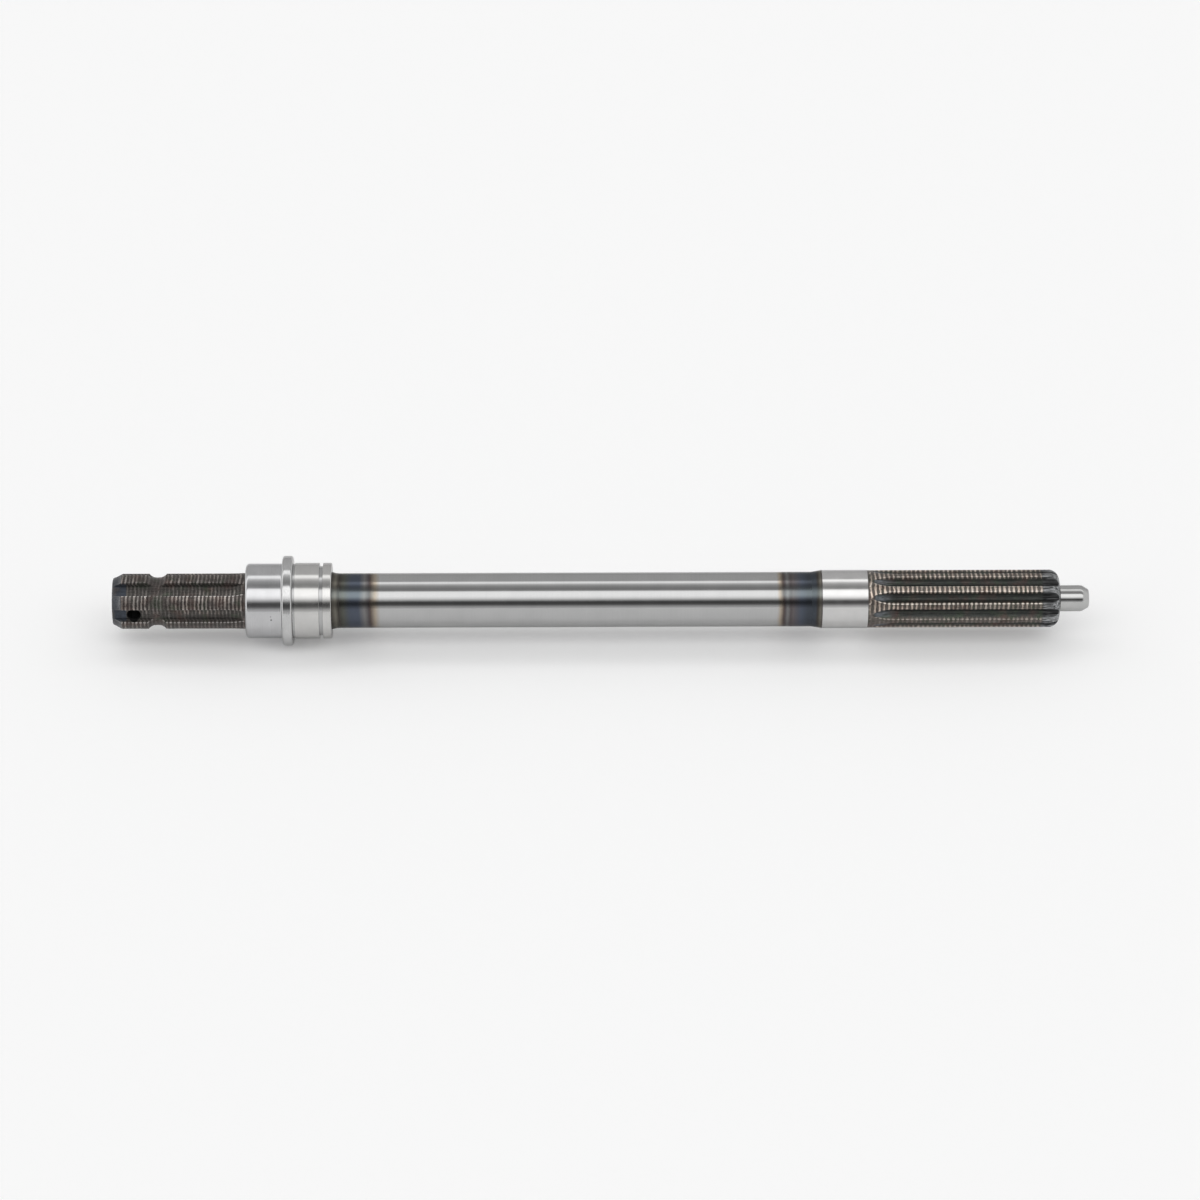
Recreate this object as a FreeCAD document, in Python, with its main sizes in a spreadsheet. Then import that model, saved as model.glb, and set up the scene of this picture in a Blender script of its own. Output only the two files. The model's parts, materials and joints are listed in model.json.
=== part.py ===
import FreeCAD, Part
import Sketcher

import math
import os

# A tractor power take-off shaft. Its axis lies along X, and X = 0 is the middle of the bearing seat.
# The six-spline output stub points to -X and the ten-spline drive stub to +X. It has five pieces:
#   pto_stub        output end: splines, locking groove, pin hole, and the journal under the sleeve
#   bearing_sleeve  pressed on the journal: seal seat, collar, bearing seat, retaining ring groove
#   centre_bar      plain round bar, friction welded between the two stubs
#   drive_stub      inner end: shoulder, ground journal, splines, and a blind bore
#   pilot_pin       its shank is pressed in that bore, and it runs in the pilot bush ahead of the shaft

SHEET = "Dimensions"
DIMENSIONS = {
    # Six straight-sided splines, in millimetres and degrees.
    "pto_reach": (120.0, "bearing middle to the output end face"),
    "pto_major_dia": (34.87, "spline outside diameter"),
    "pto_root_dia": (29.7, "spline root diameter"),
    "pto_tooth_width": (8.69, "tooth width, flank to flank"),
    "pto_tooth_count": (6, "number of teeth"),
    "pto_full_depth": (48.8, "bearing middle to the end of the full-depth splines"),
    "pto_cutter_radius": (22.0, "radius of the cutter's run-out"),
    "pto_face_dia": (28.4, "end face diameter, inside the lead-in chamfer"),
    "pto_chamfer_length": (5.6, "axial length of the lead-in chamfer"),
    "edge_break": (0.35, "chamfer along each tooth edge"),
    "lock_groove_offset": (27.4, "end face to the middle of the locking groove"),
    "lock_groove_dia": (29.4, "diameter at the bottom of the locking groove"),
    "lock_groove_radius": (6.8, "radius of the locking groove's section"),
    "pin_hole_offset": (13.4, "end face to the pin hole's axis"),
    "pin_hole_dia": (8.0, "pin hole diameter"),
    "pto_centre_dia": (3.15, "drilled part of the centre hole"),
    "pto_centre_mouth": (6.7, "mouth of the centre hole's 60 degree cone"),
    "pto_centre_depth": (6.6, "depth of the drilled part"),
    # Sleeve and the journal that it is pressed on.
    "sleeve_front": (38.0, "bearing middle to the sleeve's outer face"),
    "sleeve_back": (15.1, "bearing middle to the sleeve's inner face"),
    "journal_dia": (35.0, "journal under the sleeve"),
    "stop_dia": (35.6, "shoulder that stops the sleeve"),
    "seal_seat_dia": (46.1, "seat that the oil seal runs on"),
    "sleeve_front_round": (2.2, "rounding of the sleeve's outer corner"),
    "sleeve_back_round": (0.8, "rounding of the sleeve's inner corner"),
    "collar_front": (15.3, "bearing middle to the collar's outer face"),
    "collar_back": (8.8, "bearing middle to the collar's bearing face"),
    "collar_dia": (55.6, "collar diameter"),
    "collar_round": (1.5, "rounding of the collar's rim"),
    "collar_fillet": (0.8, "fillet between the seal seat and the collar"),
    "relief_width": (1.3, "grinding relief beside the collar"),
    "relief_depth": (0.45, "depth of the grinding relief"),
    "bearing_seat_dia": (46.8, "seat of the ball bearing"),
    "ring_groove_front": (7.5, "bearing middle to the retaining ring groove"),
    "ring_groove_width": (2.2, "width of the retaining ring groove"),
    "ring_groove_dia": (42.8, "diameter at the bottom of the retaining ring groove"),
    # Bar.
    "bar_dia": (33.8, "diameter of the centre bar"),
    "bar_front": (19.9, "bearing middle to the front weld"),
    "bar_back": (311.0, "bearing middle to the rear weld"),
    # Ten splines with inclined flanks.
    "ramp_length": (3.5, "hollow part of the rear shoulder's slope"),
    "ramp_dia": (34.8, "diameter where the slope turns straight"),
    "rear_journal_front": (317.6, "bearing middle to the start of the rear journal"),
    "rear_journal_dia": (36.0, "ground rear journal"),
    "drive_front": (345.8, "bearing middle to the end of the rear journal"),
    "drive_major_dia": (35.6, "spline outside diameter"),
    "drive_root_dia": (29.0, "spline root diameter"),
    "drive_gap_mouth": (7.3, "width of a tooth gap at the outside diameter"),
    "drive_gap_floor": (3.2, "width of a tooth gap at its floor"),
    "drive_floor_radius": (3.0, "hollow radius of a tooth gap's floor"),
    "drive_tooth_count": (10, "number of teeth"),
    "drive_full_depth": (362.2, "bearing middle to the start of the full-depth splines"),
    "drive_cutter_radius": (30.0, "radius of the cutter's run-out"),
    "drive_reach": (464.6, "bearing middle to the inner end face"),
    "drive_end_round": (6.5, "rounding of the inner end"),
    # Pilot.
    "pilot_dia": (16.2, "pilot pin diameter"),
    "pilot_reach": (483.1, "bearing middle to the tip of the pilot pin"),
    "pilot_depth": (20.0, "depth of the bore that the pilot pin's shank is pressed in"),
    "pilot_shank_dia": (14.0, "shank of the pilot pin"),
    "pilot_gap": (1.0, "air left under the shank"),
    "pilot_face_dia": (11.0, "end face diameter, inside the lead-in chamfer"),
    "pilot_chamfer_length": (4.4, "axial length of the lead-in chamfer"),
    "pilot_foot_chamfer": (0.6, "chamfer at the shank's foot and at the bore's mouth"),
    "pilot_centre_dia": (2.5, "drilled part of the centre hole"),
    "pilot_centre_mouth": (5.3, "mouth of the centre hole's 60 degree cone"),
    "pilot_centre_depth": (5.5, "depth of the drilled part"),
}
CENTRE_CONE_HALF_ANGLE = 30.0
DRILL_POINT_HALF_ANGLE = 59.0
CUTTER_SWING = 100.0  # degrees, enough for the cutter to leave the work on each side
CLEARANCE = 2.0  # millimetres that a cut runs on past the metal
SMALLEST_CUT = 1.0  # cubic millimetres
LEFT = 1  # the side of its chord, seen along the outline, on which an arc lies
RIGHT = -1


class Formula:
    """A number together with the spreadsheet expression that gives it."""

    def __init__(self, value, text):
        self.value = value
        self.text = text

    @staticmethod
    def of(other):
        if isinstance(other, Formula):
            return other
        return Formula(other, repr(other))

    def __add__(self, other):
        other = Formula.of(other)
        return Formula(self.value + other.value, f"({self.text} + {other.text})")

    def __sub__(self, other):
        other = Formula.of(other)
        return Formula(self.value - other.value, f"({self.text} - {other.text})")

    def __mul__(self, other):
        other = Formula.of(other)
        return Formula(self.value * other.value, f"({self.text} * {other.text})")

    def __truediv__(self, other):
        other = Formula.of(other)
        return Formula(self.value / other.value, f"({self.text} / {other.text})")

    def __neg__(self):
        return Formula(-self.value, f"(0 - {self.text})")


def root(formula):
    return Formula(math.sqrt(formula.value), f"sqrt({formula.text})")


def cosine(formula):
    return Formula(math.cos(math.radians(formula.value)), f"cos({formula.text} * 1deg)")


def sine(formula):
    return Formula(math.sin(math.radians(formula.value)), f"sin({formula.text} * 1deg)")


ZERO = Formula(0.0, "0")
HALF_TURN = Formula(180.0, "180")


class Sizes:
    """The spreadsheet's cells as formulas, one attribute for each alias."""

    def __init__(self, doc):
        sheet = doc.addObject("Spreadsheet::Sheet", SHEET)
        for row, (alias, (value, meaning)) in enumerate(DIMENSIONS.items(), start=1):
            sheet.set(f"A{row}", meaning)
            sheet.set(f"B{row}", str(value))
            sheet.setAlias(f"B{row}", alias)
            setattr(self, alias, Formula(float(value), f"{SHEET}.{alias}"))
        doc.recompute()


def origin_feature(body, role):
    return next(f for f in body.Origin.OriginFeatures if f.Role == role)


def new_sketch(body, name, plane):
    sketch = body.newObject("Sketcher::SketchObject", name)
    sketch.AttachmentSupport = (origin_feature(body, plane), [""])
    sketch.MapMode = "FlatFace"
    return sketch


def bind(sketch, constraint, formula):
    index = sketch.addConstraint(constraint)
    sketch.setExpression(f"Constraints[{index}]", formula.text)


def pin_point(sketch, geometry, end, point):
    """Holds one end of a sketch edge at a point whose coordinates are formulas."""
    across, up = point
    bind(sketch, Sketcher.Constraint("DistanceX", -1, 1, geometry, end, across.value), across)
    if up is ZERO:
        sketch.addConstraint(Sketcher.Constraint("PointOnObject", geometry, end, -1))
    else:
        bind(sketch, Sketcher.Constraint("DistanceY", -1, 1, geometry, end, up.value), up)


def arc_edge(start, end, bend, radius):
    """The minor arc from start to end, on the side of its chord that bend says."""
    (ax, ay), (bx, by) = start, end
    half = math.hypot(bx - ax, by - ay) / 2
    rise = radius - math.sqrt(max(radius**2 - half**2, 0.0))
    share = bend * rise / (2 * half)
    middle = ((ax + bx) / 2 - (by - ay) * share, (ay + by) / 2 + (bx - ax) * share)
    points = [FreeCAD.Vector(x, y, 0) for x, y in (start, middle, end)]
    return Part.Arc(*points)


def draw_outline(sketch, outline):
    """Draws a closed outline of points, each with None or the bend and radius of the arc after it."""
    count = len(outline)
    for index in range(count):
        point, bulge = outline[index]
        following = outline[(index + 1) % count][0]
        start = (point[0].value, point[1].value)
        end = (following[0].value, following[1].value)
        if bulge is None:
            ends = [FreeCAD.Vector(x, y, 0) for x, y in (start, end)]
            sketch.addGeometry(Part.LineSegment(*ends), False)
            continue
        bend, radius = bulge
        sketch.addGeometry(arc_edge(start, end, bend, radius.value), False)
    for index in range(count):
        point, bulge = outline[index]
        end_of_last = 2 if starts_first(sketch, index - 1, count) else 1
        start_of_this = 1 if starts_first(sketch, index, count) else 2
        last = (index - 1) % count
        sketch.addConstraint(Sketcher.Constraint("Coincident", last, end_of_last, index, start_of_this))
        pin_point(sketch, index, start_of_this, point)
        if bulge is not None:
            radius = bulge[1]
            bind(sketch, Sketcher.Constraint("Radius", index, radius.value), radius)


def starts_first(sketch, index, count):
    """True unless the edge is an arc stored back to front, as a clockwise one is."""
    edge = sketch.Geometry[index % count]
    if isinstance(edge, Part.LineSegment):
        return True
    return edge.Axis.z > 0


def turn(body, name, outline):
    """A solid of revolution about X from its half section in the XY plane."""
    sketch = new_sketch(body, f"{name}_section", "XY_Plane")
    draw_outline(sketch, outline)
    turned = body.newObject("PartDesign::Revolution", f"{name}_turned")
    turned.Profile = sketch
    turned.ReferenceAxis = (sketch, ["H_Axis"])
    turned.Angle = 360.0
    sketch.Document.recompute()
    return turned


def gap_sketch(body, name, outline, station, cutter_axis):
    """The section of the tooth gap on +Y, at a station along X, with the cutter's axis as its Axis0."""
    sketch = new_sketch(body, name, "YZ_Plane")
    sketch.setExpression("AttachmentOffset.Base.z", station.text)
    draw_outline(sketch, outline)
    ends = [FreeCAD.Vector(cutter_axis.value, y, 0) for y in (-1.0, 1.0)]
    line = sketch.addGeometry(Part.LineSegment(*ends), True)
    sketch.addConstraint(Sketcher.Constraint("Vertical", line))
    bind(sketch, Sketcher.Constraint("DistanceX", -1, 1, line, 1, cutter_axis.value), cutter_axis)
    sketch.Document.recompute()
    return sketch


def must_cut(body, feature, before):
    """Makes the feature the body's tip, and stops if it took no metal away."""
    body.Tip = feature
    body.Document.recompute()
    if feature.Shape.Volume > before.Shape.Volume - SMALLEST_CUT:
        raise RuntimeError(f"{feature.Name} cuts nothing")


def cut_splines(body, name, outline, station, cutter_axis, length, toward_plus_x, count):
    """Cuts tooth gaps from the station to the shaft's end. They rise on the cutter's radius behind it."""
    blank = body.Tip
    sketch = gap_sketch(body, f"{name}_gap", outline, station, cutter_axis)
    straight = body.newObject("PartDesign::Pocket", f"{name}_straight")
    straight.Profile = sketch
    straight.Type = "Length"
    straight.setExpression("Length", length.text)
    straight.Reversed = toward_plus_x
    must_cut(body, straight, blank)
    run_out = body.newObject("PartDesign::Groove", f"{name}_run_out")
    run_out.Profile = sketch
    run_out.ReferenceAxis = (sketch, ["Axis0"])
    run_out.Midplane = True
    run_out.Angle = CUTTER_SWING
    must_cut(body, run_out, straight)
    pattern = body.newObject("PartDesign::PolarPattern", f"{name}_pattern")
    pattern.Originals = [straight, run_out]
    pattern.Axis = (origin_feature(body, "X_Axis"), [""])
    pattern.Angle = 360.0
    pattern.setExpression("Occurrences", count.text)
    must_cut(body, pattern, run_out)


def gap_outline(half, bend, radius):
    """A gap's closed outline from its upper half, floor corner first. An arc joins the floor corners."""
    below = [((across, -up), None) for across, up in reversed(half)]
    last_corner = below.pop()[0]
    return [(point, None) for point in half] + below + [(last_corner, (bend, radius))]


def straight_gap(size):
    """A gap between parallel-sided teeth: floor corner, flank, broken edge, and clear of the outside."""
    half_width = size.pto_tooth_width / 2
    half_pitch = HALF_TURN / size.pto_tooth_count
    major_radius = size.pto_major_dia / 2
    root_radius = size.pto_root_dia / 2

    def flank_point(radius, step_back):
        offset = half_width - step_back
        along = root(radius * radius - offset * offset)
        across = along * cosine(half_pitch) + offset * sine(half_pitch)
        up = along * sine(half_pitch) - offset * cosine(half_pitch)
        return across, up

    broken_edge = flank_point(major_radius, size.edge_break)
    half = [
        flank_point(root_radius, 0.0),
        flank_point(major_radius - size.edge_break, 0.0),
        broken_edge,
        (major_radius + CLEARANCE, broken_edge[1]),
    ]
    return gap_outline(half, RIGHT, root_radius)


def inclined_gap(size):
    """A gap with a round floor and inclined flanks: floor corner, flank, broken edge, clear outside."""
    major_radius = size.drive_major_dia / 2
    round_floor = size.drive_floor_radius
    floor = size.drive_gap_floor / 2
    floor_centre = size.drive_root_dia / 2 + round_floor
    mouth = size.drive_gap_mouth / 2
    edge = mouth + size.edge_break
    half = [
        (floor_centre - root(round_floor * round_floor - floor * floor), floor),
        (root(major_radius * major_radius - mouth * mouth) - size.edge_break, mouth),
        (root(major_radius * major_radius - edge * edge), edge),
        (major_radius + CLEARANCE, edge),
    ]
    return gap_outline(half, LEFT, round_floor)


def build_pto_stub(doc, size):
    body = doc.addObject("PartDesign::Body", "pto_stub")
    face = -size.pto_reach
    major = size.pto_major_dia / 2
    drill = size.pto_centre_dia / 2
    mouth = size.pto_centre_mouth / 2
    cone = (mouth - drill) / math.tan(math.radians(CENTRE_CONE_HALF_ANGLE))
    point = drill / math.tan(math.radians(DRILL_POINT_HALF_ANGLE))
    groove = face + size.lock_groove_offset
    sink = major - size.lock_groove_dia / 2
    groove_half = root(sink * (size.lock_groove_radius * 2 - sink))
    bar = size.bar_dia / 2
    stop = size.stop_dia / 2
    drop = stop - bar
    slope = size.bar_front - size.sleeve_back
    hollow = (slope * slope + drop * drop) / (drop * 2)
    turn(
        body,
        "pto_stub",
        [
            ((face + size.pto_centre_depth + point, ZERO), None),
            ((face + size.pto_centre_depth, drill), None),
            ((face + cone, drill), None),
            ((face, mouth), None),
            ((face, size.pto_face_dia / 2), None),
            ((face + size.pto_chamfer_length, major), None),
            ((groove - groove_half, major), (RIGHT, size.lock_groove_radius)),
            ((groove + groove_half, major), None),
            ((-size.sleeve_front, major), None),
            ((-size.sleeve_front, size.journal_dia / 2), None),
            ((size.sleeve_back, size.journal_dia / 2), None),
            ((size.sleeve_back, stop), (RIGHT, hollow)),
            ((size.bar_front, bar), None),
            ((size.bar_front, ZERO), None),
        ],
    )
    cut_splines(
        body,
        "pto_spline",
        straight_gap(size),
        -size.pto_full_depth,
        size.pto_root_dia / 2 + size.pto_cutter_radius,
        size.pto_reach - size.pto_full_depth + CLEARANCE,
        False,
        size.pto_tooth_count,
    )
    drill_pin_hole(body, size, face)
    return body


def drill_pin_hole(body, size, face):
    """A hole right through the stub along Y, from one tooth gap to the opposite one."""
    sketch = new_sketch(body, "pin_hole_section", "XZ_Plane")
    station = face + size.pin_hole_offset
    radius = size.pin_hole_dia / 2
    circle = Part.Circle(FreeCAD.Vector(station.value, 0, 0), FreeCAD.Vector(0, 0, 1), radius.value)
    index = sketch.addGeometry(circle, False)
    pin_point(sketch, index, 3, (station, ZERO))
    bind(sketch, Sketcher.Constraint("Radius", index, radius.value), radius)
    splined = body.Tip
    hole = body.newObject("PartDesign::Pocket", "pin_hole")
    hole.Profile = sketch
    hole.Type = "ThroughAll"
    hole.Midplane = True
    must_cut(body, hole, splined)


def build_bearing_sleeve(doc, size):
    body = doc.addObject("PartDesign::Body", "bearing_sleeve")
    bore = size.journal_dia / 2
    seal = size.seal_seat_dia / 2
    collar = size.collar_dia / 2
    seat = size.bearing_seat_dia / 2
    ring = size.ring_groove_dia / 2
    front, back = -size.sleeve_front, size.sleeve_back
    rim_front, rim_back = -size.collar_front, -size.collar_back
    turn(
        body,
        "bearing_sleeve",
        [
            ((front, bore), None),
            ((front, seal - size.sleeve_front_round), (LEFT, size.sleeve_front_round)),
            ((front + size.sleeve_front_round, seal), None),
            ((rim_front - size.collar_fillet, seal), (RIGHT, size.collar_fillet)),
            ((rim_front, seal + size.collar_fillet), None),
            ((rim_front, collar - size.collar_round), (LEFT, size.collar_round)),
            ((rim_front + size.collar_round, collar), None),
            ((rim_back - size.collar_round, collar), (LEFT, size.collar_round)),
            ((rim_back, collar - size.collar_round), None),
            ((rim_back, seat - size.relief_depth), None),
            ((rim_back + size.relief_width, seat - size.relief_depth), None),
            ((rim_back + size.relief_width, seat), None),
            ((size.ring_groove_front, seat), None),
            ((size.ring_groove_front, ring), None),
            ((size.ring_groove_front + size.ring_groove_width, ring), None),
            ((size.ring_groove_front + size.ring_groove_width, seat), None),
            ((back - size.sleeve_back_round, seat), (LEFT, size.sleeve_back_round)),
            ((back, seat - size.sleeve_back_round), None),
            ((back, bore), None),
        ],
    )
    return body


def build_centre_bar(doc, size):
    bar = doc.addObject("Part::Cylinder", "centre_bar")
    bar.Placement = FreeCAD.Placement(
        FreeCAD.Vector(size.bar_front.value, 0, 0), FreeCAD.Rotation(FreeCAD.Vector(0, 1, 0), 90)
    )
    bar.setExpression("Placement.Base.x", size.bar_front.text)
    bar.setExpression("Radius", (size.bar_dia / 2).text)
    bar.setExpression("Height", (size.bar_back - size.bar_front).text)
    return bar


def build_drive_stub(doc, size):
    body = doc.addObject("PartDesign::Body", "drive_stub")
    bar = size.bar_dia / 2
    major = size.drive_major_dia / 2
    journal = size.rear_journal_dia / 2
    bore = size.pilot_shank_dia / 2
    ramp = size.ramp_dia / 2
    rise = ramp - bar
    hollow = (size.ramp_length * size.ramp_length + rise * rise) / (rise * 2)
    face = size.drive_reach
    round_start = face - size.drive_end_round
    bore_end = face - size.pilot_depth
    point = bore / math.tan(math.radians(DRILL_POINT_HALF_ANGLE))
    turn(
        body,
        "drive_stub",
        [
            ((size.bar_back, ZERO), None),
            ((size.bar_back, bar), (RIGHT, hollow)),
            ((size.bar_back + size.ramp_length, ramp), None),
            ((size.rear_journal_front, journal), None),
            ((size.drive_front, journal), None),
            ((size.drive_front, major), None),
            ((round_start, major), (LEFT, size.drive_end_round)),
            ((face, major - size.drive_end_round), None),
            ((face, bore + size.pilot_foot_chamfer), None),
            ((face - size.pilot_foot_chamfer, bore), None),
            ((bore_end, bore), None),
            ((bore_end - point, ZERO), None),
        ],
    )
    cut_splines(
        body,
        "drive_spline",
        inclined_gap(size),
        size.drive_full_depth,
        size.drive_root_dia / 2 + size.drive_cutter_radius,
        size.drive_reach - size.drive_full_depth + CLEARANCE,
        True,
        size.drive_tooth_count,
    )
    return body


def build_pilot_pin(doc, size):
    body = doc.addObject("PartDesign::Body", "pilot_pin")
    radius = size.pilot_dia / 2
    shank = size.pilot_shank_dia / 2
    shoulder = size.drive_reach
    tip = size.pilot_reach
    foot = shoulder - size.pilot_depth + size.pilot_gap
    drill = size.pilot_centre_dia / 2
    mouth = size.pilot_centre_mouth / 2
    cone = (mouth - drill) / math.tan(math.radians(CENTRE_CONE_HALF_ANGLE))
    point = drill / math.tan(math.radians(DRILL_POINT_HALF_ANGLE))
    turn(
        body,
        "pilot_pin",
        [
            ((foot, ZERO), None),
            ((foot, shank - size.pilot_foot_chamfer), None),
            ((foot + size.pilot_foot_chamfer, shank), None),
            ((shoulder, shank), None),
            ((shoulder, radius), None),
            ((tip - size.pilot_chamfer_length, radius), None),
            ((tip, size.pilot_face_dia / 2), None),
            ((tip, mouth), None),
            ((tip - cone, drill), None),
            ((tip - size.pilot_centre_depth, drill), None),
            ((tip - size.pilot_centre_depth - point, ZERO), None),
        ],
    )
    return body


def check_document(doc):
    """Stops if any object failed to recompute."""
    for item in doc.Objects:
        if "Invalid" in item.State or "Error" in item.State:
            raise RuntimeError(f"{item.Name} failed: {item.State}")


def check_shape(piece):
    """Stops unless the piece is one valid closed solid."""
    shape = piece.Shape
    if shape.isNull() or not shape.isValid() or len(shape.Solids) != 1:
        raise RuntimeError(f"{piece.Label} isn't one valid solid")


def main():
    doc = FreeCAD.newDocument("pto_shaft")
    size = Sizes(doc)
    pieces = [
        build_pto_stub(doc, size),
        build_bearing_sleeve(doc, size),
        build_centre_bar(doc, size),
        build_drive_stub(doc, size),
        build_pilot_pin(doc, size),
    ]
    doc.recompute()
    check_document(doc)
    os.makedirs("parts", exist_ok=True)
    for piece in pieces:
        check_shape(piece)
        box = piece.Shape.optimalBoundingBox(False, False)
        print(f"{piece.Label}: {piece.Shape.Volume:.0f} mm3, x {box.XMin:.2f} to {box.XMax:.2f}")
        piece.Shape.exportStep(f"parts/{piece.Label}.step")


main()
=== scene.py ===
"""A tractor power take-off shaft on a pale table. Sizes are in millimetres until a mesh is made."""

import json
import math

import bpy
import numpy as np
from mathutils import Matrix, Vector


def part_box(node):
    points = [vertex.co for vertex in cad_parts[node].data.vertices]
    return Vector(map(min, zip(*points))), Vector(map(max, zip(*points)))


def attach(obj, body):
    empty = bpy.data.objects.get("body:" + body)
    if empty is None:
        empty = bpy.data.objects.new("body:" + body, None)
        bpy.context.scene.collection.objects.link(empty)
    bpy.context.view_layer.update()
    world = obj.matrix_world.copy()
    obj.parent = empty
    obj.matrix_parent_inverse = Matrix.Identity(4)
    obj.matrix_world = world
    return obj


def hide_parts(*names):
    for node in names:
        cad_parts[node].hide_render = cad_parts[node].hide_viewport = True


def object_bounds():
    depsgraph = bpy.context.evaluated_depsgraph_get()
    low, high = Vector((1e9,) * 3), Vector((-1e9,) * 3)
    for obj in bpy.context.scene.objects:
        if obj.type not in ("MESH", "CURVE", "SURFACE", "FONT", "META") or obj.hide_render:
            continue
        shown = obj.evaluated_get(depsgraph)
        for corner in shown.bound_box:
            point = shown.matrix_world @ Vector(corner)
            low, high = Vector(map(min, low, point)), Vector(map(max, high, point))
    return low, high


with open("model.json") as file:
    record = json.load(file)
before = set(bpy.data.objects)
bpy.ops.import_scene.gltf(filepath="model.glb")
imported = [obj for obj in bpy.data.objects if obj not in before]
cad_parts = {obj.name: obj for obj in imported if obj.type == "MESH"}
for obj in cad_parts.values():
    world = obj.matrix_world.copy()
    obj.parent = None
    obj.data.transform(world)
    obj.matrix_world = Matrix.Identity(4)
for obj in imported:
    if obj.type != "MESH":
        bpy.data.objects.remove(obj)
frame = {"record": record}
CAD_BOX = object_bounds()

MM = 0.001
MOUNTS = {mount["name"]: mount for mount in frame["record"]["mounts"]}


def extent(node):
    """A node's first and last X and its largest radius, in millimetres."""
    low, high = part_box(node)
    return low.x / MM, high.x / MM, high.z / MM


def seat(name):
    """A round mount's first and last X and its radius, in millimetres."""
    mount = MOUNTS[name]
    middle = mount["pos_m"][0] / MM
    half = mount["dims"]["length_mm"] / 2
    return middle - half, middle + half, mount["dims"]["r_mm"]


# ---------------------------------------------------------------- sizes

PTO_FACE, FRONT_WELD, _ = extent("pto_stub")
SLEEVE_FRONT, SLEEVE_BACK, COLLAR_RADIUS = extent("bearing_sleeve")
_, REAR_WELD, BAR_RADIUS = extent("centre_bar")
_, DRIVE_FACE, _ = extent("drive_stub")
PILOT_FOOT, PILOT_TIP, PILOT_RADIUS = extent("pilot_pin")
_, _, SEAL_RADIUS = seat("seal_seat")
SEAT_FRONT, SEAT_BACK, SEAT_RADIUS = seat("bearing_seat")
JOURNAL_FRONT, JOURNAL_BACK, JOURNAL_RADIUS = seat("rear_journal")
PIN_HOLE_X = MOUNTS["pin_hole"]["pos_m"][0] / MM
PIN_HOLE_RADIUS = MOUNTS["pin_hole"]["dims"]["r_mm"]

# Output stub.
PTO_RADIUS = 17.435
PTO_ROOT = 14.85
PTO_TEETH = 6
PTO_HALF_TOOTH = 4.345
PTO_FULL_DEPTH = -48.8
PTO_CUTTER = 22.0
PTO_FACE_RADIUS = 14.2
PTO_CHAMFER = 5.6
PTO_CENTRE = {"drill": 1.575, "mouth": 3.35, "depth": 6.6}
LOCK_GROOVE_X = PTO_FACE + 27.4
LOCK_GROOVE_FLOOR = 14.7
LOCK_GROOVE_RADIUS = 6.8
STOP_RADIUS = 17.8

# Sleeve.
SLEEVE_BORE = 17.5
SLEEVE_FRONT_ROUND = 2.2
SLEEVE_BACK_ROUND = 0.8
COLLAR_FRONT = -15.3
COLLAR_BACK = -8.8
COLLAR_ROUND = 1.5
COLLAR_FILLET = 0.8
RELIEF_DEPTH = 0.45
RING_GROOVE_WIDTH = 2.2
RING_GROOVE_FLOOR = 21.4
FINE_EDGE = 0.15

# Inner stub.
DRIVE_RADIUS = 17.8
DRIVE_ROOT = 14.5
DRIVE_TEETH = 10
DRIVE_HALF_FLOOR = 1.6
DRIVE_HALF_MOUTH = 3.65
DRIVE_FLOOR_RADIUS = 3.0
DRIVE_FULL_DEPTH = 362.2
DRIVE_CUTTER = 30.0
DRIVE_END_ROUND = 6.5
SLOPE_RADIUS = 17.4
SLOPE_X = REAR_WELD + 3.5
PILOT_BORE_RADIUS = 7.0
PILOT_BORE_END = DRIVE_FACE - 20.0

# Pilot.
PILOT_CHAMFER = 4.4
PILOT_FACE_RADIUS = 5.5
PILOT_TIP_ROUND = 1.6
PILOT_SHOULDER_ROUND = 4.8
PILOT_BREAK = 0.6
PILOT_CENTRE = {"drill": 1.25, "mouth": 2.65, "depth": 5.5}

# Holes and edges.
EDGE_BREAK = 0.35
HOLE_BREAK = 0.45
HOLE_CLEARANCE = 4.0
CONE_HALF_ANGLE = 30.0
DRILL_HALF_ANGLE = 59.0

# Meshes. A run shorter than SHORT_RUN gets no points between its ends.
AROUND = 256
HOLE_SIDES = 48
SUPPORT = 0.12
SHORT_RUN = 4 * SUPPORT
LONGEST_RUN = 2.5
BAR_STEP = 10.0
SAME_POINT = 0.0001
SHARP_ANGLE = 28.0

# Spline sections. The shares are of the gap's depth, the flank's length or the land's half width.
LEAST_ANGLE = 0.0006
RELAX_DEPTH = 0.8
EDGE_SHARE = 0.4
EDGE_LEAN = 0.01
EVEN_FLANK = 0.85
FLANK_ENDS = (0.93, 1.0)
LAND_EDGE = 0.06
SHALLOW = 0.6

# Feed marks. A sway is a size in turns and a length in millimetres. A tooth's wear multiplies its marks; the
# factors are partly real wear and partly a painted highlight on the teeth that sit in the light tent's bright
# reflection.
PTO_MARKS = {
    "pitch": 2.35,
    "lean": (-0.4, 0.4),
    "bow": 2.0,
    "seed": 7,
    "wear_and_highlight": [0.8, 0.75, 1.3, 0.6, 0.8, 0.8],
}
DRIVE_MARKS = {
    "pitch": 2.84,
    "lean": (-1.0, 2.0),
    "bow": 1.5,
    "seed": 12,
    "wear_and_highlight": [1.0, 1.0, 1.3, 2.6, 1.3, 0.25, 0.4, 1.0, 1.0, 1.0],
}
RINGS_PER_MARK = 6
PTO_MARK_DEPTH = 0.06
GROOVE_MARK_DEPTH = 0.02
DRIVE_MARK_DEPTH = 0.065
MARK_ROUNDNESS = 1.5
SWAYS = ((0.05, 3.3), (0.04, 1.9))
OWN_MARKS_RISE = 3
# The second edge of each land is rubbed less: real wear, with the first edge made lighter as a painted
# highlight.
SECOND_EDGE_WEAR_AND_HIGHLIGHT = 0.3
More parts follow.
